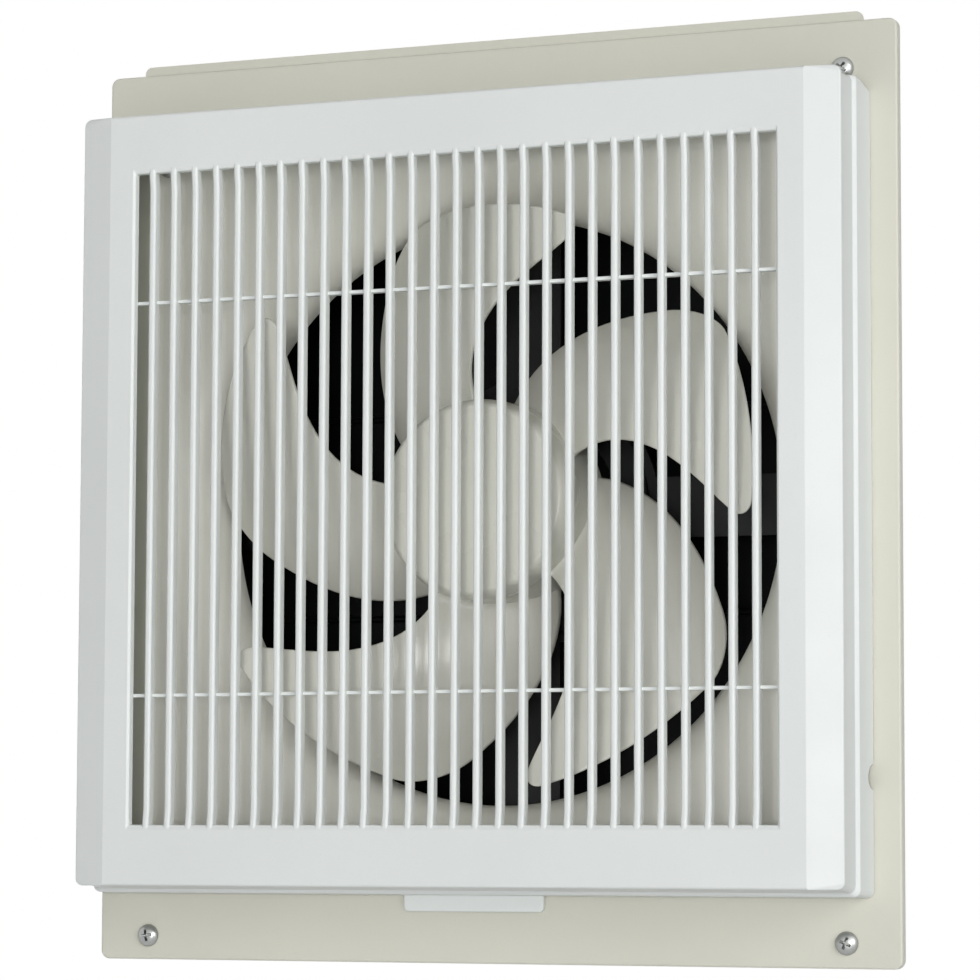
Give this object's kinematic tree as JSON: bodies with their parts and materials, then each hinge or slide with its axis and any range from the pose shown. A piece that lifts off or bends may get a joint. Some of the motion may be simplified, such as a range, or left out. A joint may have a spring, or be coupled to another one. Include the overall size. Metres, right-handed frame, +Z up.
{
  "type": "window exhaust fan",
  "caption": "Square wall or window exhaust fan: bevelled cover with upright-bar grille, bladed wheel in a bell-mouth orifice, mounting plate, sheet sleeve and gravity shutter.",
  "frame": {"origin": "on the fan axis, in the plane of the wall frame that the mounting plate is screwed to", "axes": "+Z up, +Y out of doors along the air flow, +X to the right seen from the room"},
  "size_m": [0.3586, 0.1303, 0.3893],
  "materials": {
    "cover_white": "white moulded plastic, satin gloss",
    "plate_beige": "light beige moulded plastic",
    "orifice_grey": "light grey-beige moulded plastic",
    "wheel_cream": "cream-grey moulded plastic, glossy",
    "zinc_screw": "zinc-plated",
    "galvanised": "galvanised sheet",
    "black_paint": "black painted sheet",
    "spring_steel": "spring steel strip",
    "steel": "ground steel",
    "core_steel": "laminated electrical steel",
    "copper_coil": "enamelled copper winding",
    "can_alu": "drawn aluminium can",
    "grey_plastic": "grey moulded plastic",
    "black_rubber": "black rubber",
    "shutter_black": "black moulded plastic"
  },
  "bodies": {
    "frame": {"mounting_plate": "plate_beige", "orifice_panel": "orifice_grey", "mounting_screw_tl": "zinc_screw", "mounting_screw_tr": "zinc_screw", "mounting_screw_bl": "zinc_screw", "mounting_screw_br": "zinc_screw", "orifice_screw_tl": "zinc_screw", "orifice_screw_tr": "zinc_screw", "orifice_screw_bl": "zinc_screw", "orifice_screw_br": "zinc_screw", "motor_screw_tl": "zinc_screw", "motor_screw_tr": "zinc_screw", "motor_screw_bl": "zinc_screw", "motor_screw_br": "zinc_screw", "hinge_screw_left": "zinc_screw", "hinge_screw_right": "zinc_screw", "catch_screw_left": "zinc_screw", "catch_screw_right": "zinc_screw", "bracket_screw_top": "zinc_screw", "bracket_screw_bottom": "zinc_screw", "bracket_screw_left": "zinc_screw", "bracket_screw_right": "zinc_screw", "terminal_lid_screw": "zinc_screw", "clamp_screw": "zinc_screw", "hinge_bracket_left": "galvanised", "hinge_bracket_right": "galvanised", "wall_sleeve": "black_paint", "motor_shell_front": "black_paint", "motor_shell_rear": "black_paint", "motor_bracket": "black_paint", "terminal_box": "black_paint", "terminal_lid": "black_paint", "capacitor_clamp": "black_paint", "cover_catch": "spring_steel", "motor_bearing_front": "steel", "motor_bearing_rear": "steel", "stator_core": "core_steel", "stator_coil_front": "copper_coil", "stator_coil_rear": "copper_coil", "run_capacitor": "can_alu", "terminal_block": "grey_plastic", "cord_bushing": "black_rubber", "shutter_frame": "shutter_black"},
    "rotor": {"fan_wheel": "wheel_cream", "spinner_cap": "wheel_cream", "motor_shaft": "steel", "drive_pin": "steel", "rotor_core": "core_steel"},
    "cover": {"front_cover": "cover_white"},
    "louvre_upper": {"shutter_louvre_upper": "shutter_black"},
    "louvre_middle": {"shutter_louvre_middle": "shutter_black"},
    "louvre_lower": {"shutter_louvre_lower": "shutter_black"},
    "link": {"shutter_link": "shutter_black"}
  },
  "joints": [
    {"name": "fan_spin", "type": "hinge", "parent": "frame", "child": "rotor", "pos_m": [0, 0.03, 0], "axis": [0, 1, 0], "continuous": true},
    {"name": "cover_tilt", "type": "hinge", "parent": "frame", "child": "cover", "pos_m": [-0.00455, -0.012, 0.1615], "axis": [-1, 0, 0], "range_deg": [0, 60]},
    {"name": "louvre_upper_swing", "type": "hinge", "parent": "frame", "child": "louvre_upper", "pos_m": [0, 0.0815, 0.136], "axis": [1, 0, 0], "range_deg": [0, 65]},
    {"name": "louvre_middle_swing", "type": "hinge", "parent": "frame", "child": "louvre_middle", "pos_m": [0, 0.0815, 0.0465], "axis": [1, 0, 0], "range_deg": [0, 65]},
    {"name": "louvre_lower_swing", "type": "hinge", "parent": "frame", "child": "louvre_lower", "pos_m": [0, 0.0815, -0.043], "axis": [1, 0, 0], "range_deg": [0, 65]},
    {"name": "link_pivot", "type": "hinge", "parent": "louvre_upper", "child": "link", "pos_m": [0.1153, 0.0675, 0.136], "axis": [1, 0, 0], "range_deg": [-65, 0]}
  ],
  "couplings": [
    {"joint": "louvre_middle_swing", "follows": "louvre_upper_swing", "ratio": 1},
    {"joint": "louvre_lower_swing", "follows": "louvre_upper_swing", "ratio": 1},
    {"joint": "link_pivot", "follows": "louvre_upper_swing", "ratio": -1}
  ]
}
